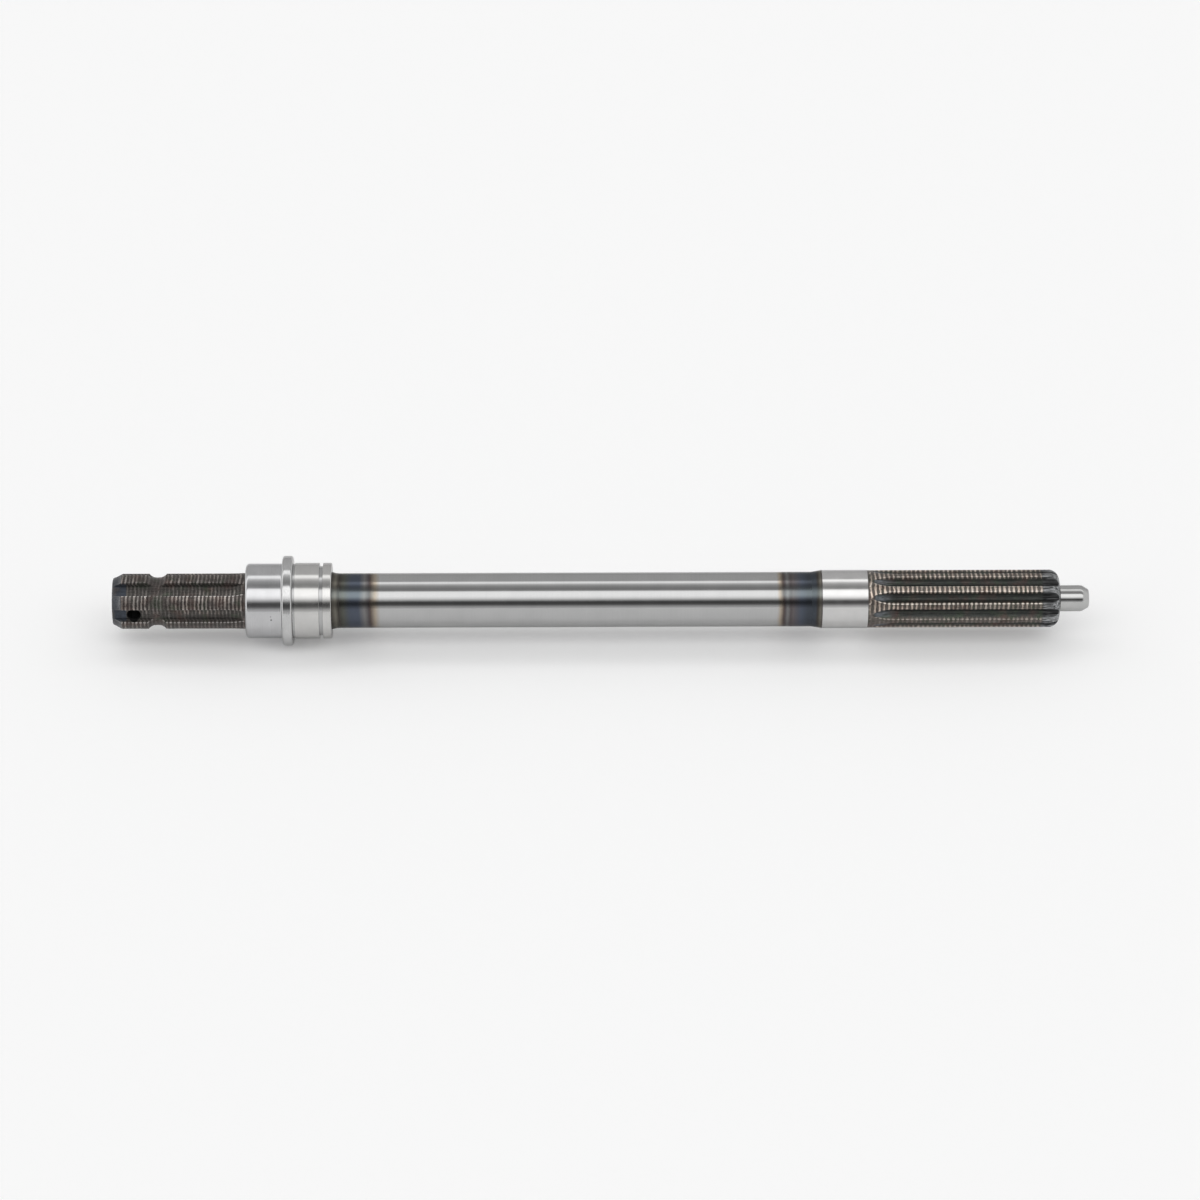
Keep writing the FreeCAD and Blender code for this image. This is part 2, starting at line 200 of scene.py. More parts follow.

# Where the marks and the run-outs' painted sheen, a painted highlight, come and go along X.
GROOVE_FADE = (4.0, 6.0)
GROOVE_MARKS_LEFT = 0.4
DRIVE_MARKS_START = (346.0, 351.0)
DRIVE_MARKS_LEFT = 0.35
DRIVE_MARKS_STOP = (DRIVE_FACE - 12.5, DRIVE_FACE - 10.5)
PAINTED_SHEEN_START = (348.5, 350.5)
PAINTED_SHEEN_STOP = (352.0, 364.0)
PTO_END = {
    "colour": (0.050, 0.058, 0.072),
    "from_to": (PTO_FACE + 9.2, PTO_FACE + 8.4),
    "contrast": (0.8, 1.2),
    "floor_only": True,
}
DRIVE_END = {
    "colour": (0.10, 0.102, 0.104),
    "from_to": (DRIVE_FACE - 12.0, DRIVE_FACE - 10.0),
    "contrast": (0.1, 4.4),
    "floor_only": False,
}


# ---------------------------------------------------------------- colours

EDGE_ON = (0.65, 0.65, 0.65)

# Oxide: stains, the run-outs' painted sheen (a painted highlight), what turns a mark's light colour warm or
# rubbed (the rubbed colour partly a painted highlight), and how ragged the marks are.
RUST_STAIN = (0.078, 0.052, 0.046)
GREEN_STAIN = (0.046, 0.060, 0.042)
GREEN_OFFSET = (31.0, 7.0, 19.0)
RUN_OUT_PAINTED_SHEEN = (0.17, 0.185, 0.205)
WARMER = (1.03, 0.96, 0.92)
RUBBED_AND_HIGHLIT = (2.0, 2.05, 2.1)
MARK_WANDER = 0.3
GRAIN_RAGGED = 0.2
TICK_RAGGED = 0.22
TOOTH_APART = 17.0

# The output end's chamfer.
BLUED_GAP = (0.044, 0.050, 0.061)
BLUED_LAND = (0.066, 0.070, 0.077)
BLUED_BROWN = (0.10, 0.085, 0.075)
SCUFFED = (0.30, 0.30, 0.30)
SCUFF_REACH = 3.0
SCUFF_AT_LAND = 0.45
SCUFF_ON_EDGES = 0.4
SCUFF_AT_FACE = 0.7
FACE_SCUFF_REACH = 0.5

# The small nick in the seal seat, as the places and sizes of its spots.
NICKS = (((-21.8, -23.0, 1.4), 0.75), ((-22.1, -22.8, 3.6), 0.45))
NICK_COLOUR = (0.05, 0.05, 0.05)
NICK_DARKNESS = 0.8
NICK_RAGGED = 0.2

# Temper colours as they look on a screen. The distances in BEHIND_SLEEVE run back from the sleeve's
# back face, and those in BEFORE_JOURNAL run forward from the journal's front edge.
PLAIN = (160, 160, 160)
STRAW = (148, 138, 125)
BROWN = (82, 73, 69)
VIOLET = (78, 73, 74)
MAUVE = (88, 83, 84)
SILVER = (106, 105, 105)
BLUE = (71, 76, 86)
DEEP_BLUE = (61, 65, 71)
OLIVE = (76, 77, 72)
SCALE = (62, 59, 56)
BARE = (98, 95, 88)
BEHIND_SLEEVE = [
    (0, SCALE),
    (2.5, BARE),
    (4.5, SCALE),
    (7.5, OLIVE),
    (12, BLUE),
    (17, BLUE),
    (20.5, SILVER),
    (23, VIOLET),
    (24, BROWN),
    (27, STRAW),
    (30, PLAIN),
]
BEFORE_JOURNAL = [
    (0, VIOLET),
    (1.5, BARE),
    (3, SCALE),
    (4.5, DEEP_BLUE),
    (9, DEEP_BLUE),
    (13, BLUE),
    (18, MAUVE),
    (19.5, VIOLET),
    (21.5, SILVER),
    (23, VIOLET),
    (24, BROWN),
    (26, STRAW),
    (28, PLAIN),
]
TINT_SWAY = 2.4
TINT_RIPPLE = 0.7
DULL_TINT = 0.14

# Painted highlight on the tint's upper side: a pale colour mixed into the tint between angles above the
# horizontal in front of the shaft, where the light tent's bright reflection falls.
PAINTED_HIGHLIGHT_COLOUR = (0.85, 1.0, 1.0)
PAINTED_HIGHLIGHT_SHARE = 0.2
PAINTED_HIGHLIGHT_START = (32.0, 44.0)
PAINTED_HIGHLIGHT_STOP = (52.0, 66.0)


# ---------------------------------------------------------------- light, floor and camera settings

# The tent's brightness at angles about the shaft, in degrees from the front over the top.
TENT_LEVELS = [
    (-10, 0.85),
    (0, 0.75),
    (8, 0.50),
    (14, 0.16),
    (22, 0.08),
    (28, 0.14),
    (34, 0.65),
    (42, 1.35),
    (50, 1.70),
    (62, 1.74),
    (70, 1.60),
    (74.6, 0.42),
    (83, 0.34),
    (96, 0.52),
    (104, 0.85),
    (110, 1.55),
    (117, 1.55),
    (121, 0.62),
    (150, 0.63),
    (190, 0.65),
]
TENT_STRENGTH = 2.0
TENT_DIP = 10.0
TENT_LEFT = 1.3
TENT_RIGHT = 0.9
TENT_SIDES = (0.55, 0.85)
BACKDROP = 0.88

FLOOR_HALF = 12.0
FLOOR_GAP = 0.0002
FLOOR_COLOUR = (0.89, 0.89, 0.89)
FLOOR_ROUGHNESS = 0.9
FLOOR_GLOSS = 0.1
FLOOR_GLOW = 0.11

CAMERA_DISTANCE = 3.2
CAMERA_ELEVATION = 34.3
CAMERA_YAW = 0.7
CAMERA_ROLL = 0.187
SENSOR_WIDTH = 36.0
CLIP_END = 100.0
FRAME_WIDTH = 0.7424
TARGET = Vector((0.1806, 0.0, 0.0))
TARGET_DROP = 0.00015


# ---------------------------------------------------------------- outlines


def spaced(start, end, step):
    """Evenly spaced stations from start to end, both included."""
    count = max(1, round(abs(end - start) / step))
    return np.linspace(start, end, count + 1)


def arc(centre_x, centre_r, radius, first, last, steps=8):
    """Points of a circle in the half section, from one angle to another, in degrees from +X towards +R."""
    angles = np.radians(np.linspace(first, last, steps + 1))
    return [(centre_x + radius * math.cos(a), centre_r + radius * math.sin(a)) for a in angles]


def corner_arc(before, corner, after, radius, steps=6):
    """Points that round a corner of an outline on a radius."""
    corner = np.array(corner)
    into, out = np.array(before) - corner, np.array(after) - corner
    into, out = into / np.linalg.norm(into), out / np.linalg.norm(out)
    half = math.acos(into @ out) / 2
    middle = (into + out) / np.linalg.norm(into + out)
    centre = corner + middle * radius / math.sin(half)
    start, end = corner + into * radius / math.tan(half), corner + out * radius / math.tan(half)
    points = []
    for share in np.linspace(0, 1, steps + 1):
        ray = (start - centre) * (1 - share) + (end - centre) * share
        points.append(tuple(centre + ray / np.linalg.norm(ray) * radius))
    return points


def centre_hole(face, inward, drill, mouth, depth):
    """A lathe centre hole's half section from its bottom to its mouth. inward is +1 or -1 along X."""
    cone = (mouth - drill) / math.tan(math.radians(CONE_HALF_ANGLE))
    point = drill / math.tan(math.radians(DRILL_HALF_ANGLE))
    return [
        (face + inward * (depth + point), 0.0),
        (face + inward * depth, drill),
        (face + inward * cone, drill),
        (face, mouth),
    ]


# ---------------------------------------------------------------- meshes


def new_piece(name, vertices, faces, materials, face_materials, node):
    """Makes one visible piece from millimetre vertices, in the place of a CAD node."""
    mesh = bpy.data.meshes.new(name)
    mesh.from_pydata((np.asarray(vertices) * MM).tolist(), [], faces)
    for material in materials:
        mesh.materials.append(material)
    mesh.polygons.foreach_set("material_index", np.asarray(face_materials, dtype=np.int32))
    mesh.update()
    mesh.shade_smooth()
    mesh.set_sharp_from_angle(angle=math.radians(SHARP_ANGLE))
    piece = bpy.data.objects.new(name, mesh)
    bpy.context.scene.collection.objects.link(piece)
    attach(piece, "root")
    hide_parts(node)
    return piece


def ring_faces(ring_count, around, first_pole, last_pole, band_materials):
    """Quads between neighbouring rings, and a fan at each pole."""
    faces, face_materials = [], []
    for band in range(ring_count - 1):
        here, there = band * around, (band + 1) * around
        for k in range(around):
            k_next = (k + 1) % around
            faces.append((here + k, here + k_next, there + k_next, there + k))
        face_materials += [band_materials[band]] * around
    last = (ring_count - 1) * around
    for k in range(around):
        k_next = (k + 1) % around
        faces.append((first_pole, k_next, k))
        faces.append((last_pole, last + k, last + k_next))
        face_materials += [band_materials[0], band_materials[-1]]
    return faces, face_materials


def supported(runs):
    """Joins runs of half-section points. Long stretches get extra points, two of them close to their ends."""
    points, point_materials = [], []
    for material, run in runs:
        for point in run:
            if not points:
                points.append(point)
                point_materials.append(material)
                continue
            length = math.dist(points[-1], point)
            if length < SAME_POINT:
                continue
            start, shares = np.array(points[-1]), [1.0]
            if length > SHORT_RUN:
                inner = spaced(SUPPORT, length - SUPPORT, LONGEST_RUN) / length
                shares = [*inner, 1.0]
            for share in shares:
                points.append(tuple(start + (np.array(point) - start) * share))
                point_materials.append(material)
    return points, point_materials


def lathe(name, runs, materials, node):
    """A turned piece from runs of a material's index and half-section points, from axis to axis."""
    points, point_materials = supported(runs)
    first, *middle, last = points
    angles = np.arange(AROUND) * 2 * math.pi / AROUND
    rings = [
        np.column_stack([np.full(AROUND, x), r * np.cos(angles), r * np.sin(angles)]) for x, r in middle
    ]
    vertices = np.vstack([*rings, [(first[0], 0.0, 0.0)], [(last[0], 0.0, 0.0)]])
    pole = len(middle) * AROUND
    faces, face_materials = ring_faces(len(middle), AROUND, pole, pole + 1, point_materials[2:])
    return new_piece(name, vertices, faces, materials, face_materials, node)


# ---------------------------------------------------------------- splines


class Gap:
    """A spline's tooth gap. Its section is given along the gap's middle line and across it."""

    def __init__(self, count, full_depth, cutter_radius, toward, steps):
        self.count = count
        self.full_depth = full_depth
        self.cutter_radius = cutter_radius
        self.toward = toward
        self.floor_steps, self.flank_steps, self.land_steps = steps

    def lift(self, x):
        """How far the cutter's run-out has lifted the section at a station past the full depth."""
        past = max(0.0, (x - self.full_depth) * self.toward)
        if past >= self.cutter_radius:
            return self.cutter_radius
        return self.cutter_radius - math.sqrt(self.cutter_radius**2 - past**2)


class StraightGap(Gap):
    """A gap between parallel-sided teeth, with a floor on the root circle."""

    def __init__(self, *settings):
        super().__init__(*settings)
        half_pitch = math.pi / self.count
        self.corner_angle = half_pitch - math.asin(PTO_HALF_TOOTH / PTO_ROOT)
        self.flank = np.array([math.cos(half_pitch), math.sin(half_pitch)])
        self.lowest = PTO_ROOT

    def floor(self, lift, _radius):
        """The floor's points from its middle to its corner."""
        angles = np.linspace(0, self.corner_angle, self.floor_steps + 1)
        return np.column_stack([PTO_ROOT * np.cos(angles) + lift, PTO_ROOT * np.sin(angles)])


class RoundGap(Gap):
    """A gap with inclined flanks and a hollow floor, which runs out in a point."""

    def __init__(self, *settings):
        super().__init__(*settings)
        self.centre = DRIVE_ROOT + DRIVE_FLOOR_RADIUS
        corner = self.centre - math.sqrt(DRIVE_FLOOR_RADIUS**2 - DRIVE_HALF_FLOOR**2)
        mouth = math.sqrt(DRIVE_RADIUS**2 - DRIVE_HALF_MOUTH**2) - EDGE_BREAK
        flank = np.array([mouth - corner, DRIVE_HALF_MOUTH - DRIVE_HALF_FLOOR])
        self.flank = flank / np.linalg.norm(flank)
        self.lowest = DRIVE_ROOT

    def floor(self, lift, radius):
        """The floor's points from its middle to its corner, or to where it meets the turned radius."""
        centre = self.centre + lift
        inward = (centre**2 + DRIVE_FLOOR_RADIUS**2 - radius**2) / (2 * centre)
        widest = DRIVE_HALF_FLOOR
        if abs(inward) < DRIVE_FLOOR_RADIUS:
            widest = min(widest, math.sqrt(DRIVE_FLOOR_RADIUS**2 - inward**2))
        elif inward > 0:
            widest = 0.0
        across = np.linspace(0, widest, self.floor_steps + 1)
        return np.column_stack([centre - np.sqrt(DRIVE_FLOOR_RADIUS**2 - across**2), across])


def half_section(gap, x, radius):
    """Angles and radii from a gap's middle to its tooth's middle, at a station with a given turned radius."""
    half_pitch = math.pi / gap.count
    lift = gap.lift(x)
    floor = gap.floor(lift, radius)
    corner = floor[-1]
    depth = max(radius - math.hypot(*corner), 0.0)
    edge = min(EDGE_BREAK, depth * EDGE_SHARE)
    slant = corner @ gap.flank
    length = 0.0
    if depth > 0:
        length = -slant + math.sqrt(slant**2 - corner @ corner + (radius - edge) ** 2)
    shares = np.append(np.linspace(0, EVEN_FLANK, gap.flank_steps)[1:], FLANK_ENDS)
    flank = corner + np.outer(shares, gap.flank) * length
    cut = np.vstack([floor, flank])
    angles = np.arctan2(cut[:, 1], cut[:, 0])
    radii = np.hypot(cut[:, 0], cut[:, 1])
    start = angles[-1] + max(edge, depth * EDGE_LEAN) / radius
    across = np.append([0.0, LAND_EDGE], np.linspace(LAND_EDGE, 1, gap.land_steps)[1:])
    land = start + (half_pitch - start) * across
    angles = np.concatenate([angles, land])
    radii = np.minimum(np.concatenate([radii, np.full(len(land), radius)]), radius)
    for k in range(1, len(angles)):
        angles[k] = max(angles[k], angles[k - 1] + LEAST_ANGLE)
    relax = min(1.0, max(0.0, (gap.lowest + lift - radius) / RELAX_DEPTH))
    even = np.linspace(0, half_pitch, len(angles))
    angles = angles * (half_pitch / angles[-1])
    return angles * (1 - relax) + even * relax, radii


def mirrored(half):
    """A half section's values followed by its mirror image, without the two middles twice."""
    return np.concatenate([half, half[-2:0:-1]])


def splined(name, gap, rings, marks, materials, node):
    """A splined piece from its rings of X, turned radius, material index and depth of the feed marks."""
    floor_count = gap.floor_steps + 1
    flank_count = gap.flank_steps + 1
    floor_up = np.zeros(floor_count)
    flank_up = np.linspace(0, 1, flank_count + 1)[1:]
    land_up = np.ones(gap.land_steps + 1)
    up = mirrored(np.concatenate([floor_up, flank_up, land_up]))
    # Rubbed land edges: real wear, the first edge full and the second at a smaller share, so the first edge
    # carries a painted highlight.
    worn_and_highlit_half = np.zeros(floor_count + flank_count + gap.land_steps + 1)
    worn_and_highlit_half[floor_count + flank_count - 1 : floor_count + flank_count + 1] = 1.0
    worn_and_highlit = np.concatenate([worn_and_highlit_half, SECOND_EDGE_WEAR_AND_HIGHLIGHT * worn_and_highlit_half[-2:0:-1]])
    first_side = np.arange(len(up)) < len(worn_and_highlit_half)
    draw = np.random.default_rng(marks["seed"])
    tooth_start = draw.uniform(-0.5, 0.5, gap.count)
    tooth_lean = draw.uniform(*marks["lean"], gap.count)
    gap_start = draw.uniform(-0.5, 0.5, gap.count)
    tooth_bow = draw.uniform(-marks["bow"], marks["bow"], gap.count)
    sway_start = draw.uniform(0, 2 * math.pi, (gap.count, len(SWAYS)))
    pitch_angle = 2 * math.pi / gap.count
    first, *middle, last = rings
    blocks, phases, heights = [], [], []
    for x, radius, _, mark_depth in middle:
        half_angles, half_radii = half_section(gap, x, radius)
        angles = np.concatenate([half_angles, pitch_angle - half_angles[-2:0:-1]])
        radii = mirrored(half_radii)
        height = 1 - (1 - up) * np.clip((radius - radii) / SHALLOW, 0, 1)
        heights.append(np.tile(height, gap.count))
        aside = angles - pitch_angle / 2
        own = np.minimum(1.0, height * OWN_MARKS_RISE)
        for tooth in range(gap.count):
            own_gap = np.where(first_side, gap_start[tooth], gap_start[(tooth + 1) % gap.count])
            lean = (tooth_lean[tooth] * aside + tooth_bow[tooth] * aside**2) * own
            sway = sum(
                size * math.sin(x / length + begin)
                for (size, length), begin in zip(SWAYS, sway_start[tooth])
            )
            phase = x / marks["pitch"] + sway + lean + own * tooth_start[tooth] + (1 - own) * own_gap
            r = radii - mark_depth * (1 - np.abs(2 * (phase % 1.0) - 1) ** MARK_ROUNDNESS)
            around = angles + tooth * pitch_angle
            blocks.append(np.column_stack([np.full(len(r), x), r * np.cos(around), r * np.sin(around)]))
            phases.append(phase)
    vertices = np.vstack([*blocks, [(first[0], 0.0, 0.0)], [(last[0], 0.0, 0.0)]])
    around_count = len(up) * gap.count
    pole = len(middle) * around_count
    bands = [ring[2] for ring in middle[1:]]
    faces, face_materials = ring_faces(len(middle), around_count, pole, pole + 1, bands)
    piece = new_piece(name, vertices, faces, materials, face_materials, node)
    values = {
        "phase": np.concatenate(phases),
        "height": np.concatenate(heights),
        "worn_and_highlit": np.tile(worn_and_highlit, len(middle) * gap.count),
        "tooth": np.tile(np.repeat(np.arange(gap.count), len(up)), len(middle)),
        "wear_and_highlight": np.tile(np.repeat(marks["wear_and_highlight"], len(up)), len(middle)),
    }
    for label, numbers in values.items():
        layer = piece.data.attributes.new(label, "FLOAT", "POINT")
        layer.data.foreach_set("value", np.append(numbers, [0.0, 0.0]).astype(np.float32))
    return piece


def marked_rings(runs):
    """Rings from runs of a material's index, a mark depth, a spacing and half-section points."""
    rings = []
    for material, depth, spacing, points in runs:
        for x, radius in points:
            if not rings:
                rings.append((x, radius, material, depth))
                continue
            start_x, start_radius = rings[-1][:2]
            length = math.dist((start_x, start_radius), (x, radius))
            if length < SAME_POINT:
                continue
            shares = [1.0]
            if length > SHORT_RUN:
                shares = [*spaced(SUPPORT, length - SUPPORT, spacing) / length, 1.0]
            for share in shares:
                station = start_x + (x - start_x) * share
                rings.append((station, start_radius + (radius - start_radius) * share, material, depth))
    return rings


# ---------------------------------------------------------------- nodes


class Shader:
    """Short ways to add nodes to one node tree."""

    def __init__(self, tree):
        self.tree = tree

    def node(self, kind, **settings):
        made = self.tree.nodes.new(kind)
        for name, value in settings.items():
            setattr(made, name, value)
        return made

    def plug(self, value, socket):
        if isinstance(value, bpy.types.NodeSocket):
            self.tree.links.new(value, socket)
        else:
            socket.default_value = value

    def math(self, operation, *values, clamp=False):
        made = self.node("ShaderNodeMath", operation=operation, use_clamp=clamp)
        for value, socket in zip(values, made.inputs):
            self.plug(value, socket)
        return made.outputs[0]

    def times(self, product, *factors, clamp=False):
        """The product of several values. Only the last step is clamped."""
        for left, factor in zip(range(len(factors) - 1, -1, -1), factors):
            product = self.math("MULTIPLY", product, factor, clamp=clamp and left == 0)
        return product

    def centred(self, value, size):
        """An offset of up to half the size either way, from a value between 0 and 1."""
        return self.math("MULTIPLY_ADD", value, size, -size / 2)

    def blend(self, factor, first, second, mode="MIX"):
        """Mixes two colours, each a socket or a tuple of three."""
        made = self.node("ShaderNodeMix", data_type="RGBA", blend_type=mode)
        self.plug(factor, made.inputs["Factor"])
        for value, socket in ((first, made.inputs[6]), (second, made.inputs[7])):
            self.plug((*value, 1.0) if isinstance(value, tuple) else value, socket)
        return made.outputs[2]

    def remap(self, value, low, high, to_low=0.0, to_high=1.0, smooth=False):
        made = self.node("ShaderNodeMapRange", interpolation_type="SMOOTHSTEP" if smooth else "LINEAR")
        for amount, socket in zip((value, low, high, to_low, to_high), made.inputs):
            self.plug(amount, socket)
        return made.outputs[0]

    def stray(self, noise, amount, low=0.3, high=0.7, about=0.0):
        """A number that strays from its middle by up to the amount, as noise goes from low to high."""
        return self.remap(noise, low, high, about - amount, about + amount)

    def between(self, value, rise, fall):
        """1 between two ranges, and 0 outside them."""
        rising = self.remap(value, *rise, smooth=True)
        return self.times(rising, self.remap(value, *fall, 1.0, 0.0, smooth=True))

    def ramp(self, value, stops):
        made = self.node("ShaderNodeValToRGB")
        band = made.color_ramp
        while len(band.elements) < len(stops):
            band.elements.new(0.5)
        for element, (place, colour) in zip(band.elements, stops):
            element.position = place
            element.color = (*colour, 1.0)
        self.plug(value, made.inputs[0])
        return made.outputs[0]

    def noise(self, vector, scale, detail=2.0, roughness=0.5, dimensions="3D"):
        made = self.node("ShaderNodeTexNoise", noise_dimensions=dimensions)
        self.plug(vector, made.inputs["W" if dimensions == "1D" else "Vector"])
        self.plug(scale, made.inputs["Scale"])
        self.plug(detail, made.inputs["Detail"])
        self.plug(roughness, made.inputs["Roughness"])
        return made.outputs[0]

    def vector_math(self, operation, vector, other):
        made = self.node("ShaderNodeVectorMath", operation=operation)
        self.plug(vector, made.inputs[0])
        made.inputs[1].default_value = other
        return made.outputs["Value" if operation == "DISTANCE" else "Vector"]

    def attribute(self, name):
        return self.node("ShaderNodeAttribute", attribute_name=name).outputs["Fac"]

    def bump(self, height, strength, distance):
        made = self.node("ShaderNodeBump")
        self.plug(strength, made.inputs["Strength"])
        self.plug(distance, made.inputs["Distance"])
        self.plug(height, made.inputs["Height"])
        return made.outputs[0]

    def parts(self, vector):
        """A vector's X, Y and Z."""
        made = self.node("ShaderNodeSeparateXYZ")
        self.plug(vector, made.inputs[0])
        return made.outputs

    def angle_above_front(self, north, up):
        """A direction's angle about the shaft, in degrees from the front (-Y) over the top."""
        return self.math("DEGREES", self.math("ARCTAN2", up, self.math("MULTIPLY", north, -1.0)))


def new_material(name):
    """A material with its shader, helper, place in millimetres, and its X."""
    material = bpy.data.materials.new(name)
    material.use_nodes = True
    shader = Shader(material.node_tree)
    sized = shader.node("ShaderNodeVectorMath", operation="SCALE")
    shader.plug(shader.node("ShaderNodeTexCoord").outputs["Object"], sized.inputs[0])
    sized.inputs["Scale"].default_value = 1 / MM
    place = sized.outputs[0]
    return material, material.node_tree.nodes["Principled BSDF"], shader, place, shader.parts(place)[0]


def dress(surface, shader, colour, metallic, roughness, normal):
    """Plugs a steel's colour, metalness, roughness and relief into its shader."""
    shader.plug(colour, surface.inputs["Base Color"])
    surface.inputs["Metallic"].default_value = metallic
    shader.plug(roughness, surface.inputs["Roughness"])
    shader.plug(normal, surface.inputs["Normal"])


# ---------------------------------------------------------------- materials


def bright_steel(name, colour, roughness, ring_pitch, ring_contrast, speckle=0.0, ragged=0.0, nicks=()):
    """Turned or ground steel: fine rings round the axis, with a faint cloudiness."""
    material, surface, shader, place, along = new_material(name)
    rings = shader.noise(along, 1 / ring_pitch, detail=4.0, roughness=0.7, dimensions="1D")
    clouds = shader.noise(place, 0.12, detail=3.0)
    grain = shader.noise(place, 2.2, detail=3.0, roughness=0.8)
    tone = shader.math("MULTIPLY_ADD", rings, ring_contrast, 1.0 - ring_contrast / 2)
    tone = shader.times(tone, shader.stray(clouds, 0.04, about=1.0), shader.stray(grain, speckle, about=1.0))
    painted = shader.blend(1.0, colour, tone, "MULTIPLY")
    for spot, size in nicks:
        away = shader.vector_math("DISTANCE", place, spot)
        away = shader.math("ADD", away, shader.stray(grain, NICK_RAGGED))
        inside = shader.remap(away, size * 0.4, size, NICK_DARKNESS, 0.0, smooth=True)
        painted = shader.blend(inside, painted, NICK_COLOUR)
    gloss = shader.remap(clouds, 0.25, 0.75, roughness * 0.8, roughness * 1.25)
    gloss = shader.math("ADD", gloss, shader.remap(rings, 0.3, 0.7, 0.0, ragged))
    relief = shader.math("MULTIPLY_ADD", grain, speckle * 4, rings)
    dress(surface, shader, painted, 1.0, gloss, shader.bump(relief, strength=0.25, distance=0.02 * MM))
    surface.inputs["Specular Tint"].default_value = (*EDGE_ON, 1.0)
    return material


def linear(colour):
    """A linear colour from one stated as it looks on a screen, 0 to 255."""
    return tuple((c / 255 / 12.92) if c < 10.3 else ((c / 255 + 0.055) / 1.055) ** 2.4 for c in colour)


def tint_stops(shader, away, stops):
    """The colours that heat left at each distance from an edge, as shares of the plain steel's own."""
    reach = stops[-1][0]
    plain = linear(PLAIN)[0]
    places = [(distance / reach, tuple(c / plain for c in linear(colour))) for distance, colour in stops]
    return shader.ramp(shader.remap(away, 0, reach), places)


def heat_tint(shader, place, along):
    """Both ends' tint, its rings pushed a little out of true round the shaft, with a painted highlight on its
    upper side.
    """
    sway = shader.centred(shader.noise(place, 0.045, detail=1.0), TINT_SWAY)
    ripple = shader.centred(shader.noise(place, 0.5, detail=2.0), TINT_RIPPLE)
    swayed = shader.math("ADD", along, shader.math("ADD", sway, ripple))
    front = tint_stops(shader, shader.math("SUBTRACT", swayed, SLEEVE_BACK), BEHIND_SLEEVE)
    rear = tint_stops(shader, shader.math("SUBTRACT", JOURNAL_FRONT, swayed), BEFORE_JOURNAL)
    tint = shader.blend(1.0, front, rear, "MULTIPLY")
    # Painted highlight: the tint is lightened on its upper side, in the band of angles where the tent's
    # bright reflection falls, most where the tint is darkest.
    _, north, up = shader.parts(place)
    upper_side = shader.between(shader.angle_above_front(north, up), PAINTED_HIGHLIGHT_START, PAINTED_HIGHLIGHT_STOP)
    painted_highlight = shader.times(upper_side, shader.remap(tint, 0.45, 0.95, PAINTED_HIGHLIGHT_SHARE, 0.0))
    return shader.blend(painted_highlight, tint, PAINTED_HIGHLIGHT_COLOUR)


def tinted_steel(name, colour, roughness):
    """Polished bar steel with the heat tint of its two ends."""
    material, surface, shader, place, along = new_material(name)
    rings = shader.noise(along, 1.2, detail=5.0, roughness=0.7, dimensions="1D")
    clouds = shader.noise(place, 0.08, detail=3.0)
    grain = shader.noise(place, 1.6, detail=4.0, roughness=0.8)
    tint = heat_tint(shader, place, along)
    tone = shader.times(
        shader.stray(rings, 0.03, low=0.2, high=0.8, about=1.0),
        shader.stray(clouds, 0.03, about=1.0),
    )
    painted = shader.blend(1.0, shader.blend(1.0, colour, tone, "MULTIPLY"), tint, "MULTIPLY")
    gloss = shader.remap(clouds, 0.25, 0.75, roughness * 0.8, roughness * 1.3)
    gloss = shader.math("ADD", gloss, shader.remap(tint, 0.2, 0.8, DULL_TINT, 0.0))
    relief = shader.math("MULTIPLY_ADD", grain, 0.5, rings)
    dress(surface, shader, painted, 1.0, gloss, shader.bump(relief, strength=0.15, distance=0.02 * MM))
    surface.inputs["Specular Tint"].default_value = (*EDGE_ON, 1.0)
    return material


def groove_fade(shader, along):
    """Marks are faint in the locking groove."""
    away = shader.math("ABSOLUTE", shader.math("SUBTRACT", along, LOCK_GROOVE_X))
    return shader.remap(away, *GROOVE_FADE, GROOVE_MARKS_LEFT, 1.0, smooth=True)


def end_fade(shader, along):
    """Marks come up behind the ground journal and stop short of the inner end face."""
    start = shader.remap(along, *DRIVE_MARKS_START, DRIVE_MARKS_LEFT, 1.0)
    return shader.times(start, shader.remap(along, *DRIVE_MARKS_STOP, 1.0, 0.0, smooth=True))


def scaled(colour, factors):
    """A colour with each part multiplied by its own factor."""
    return tuple(c * factor for c, factor in zip(colour, factors))


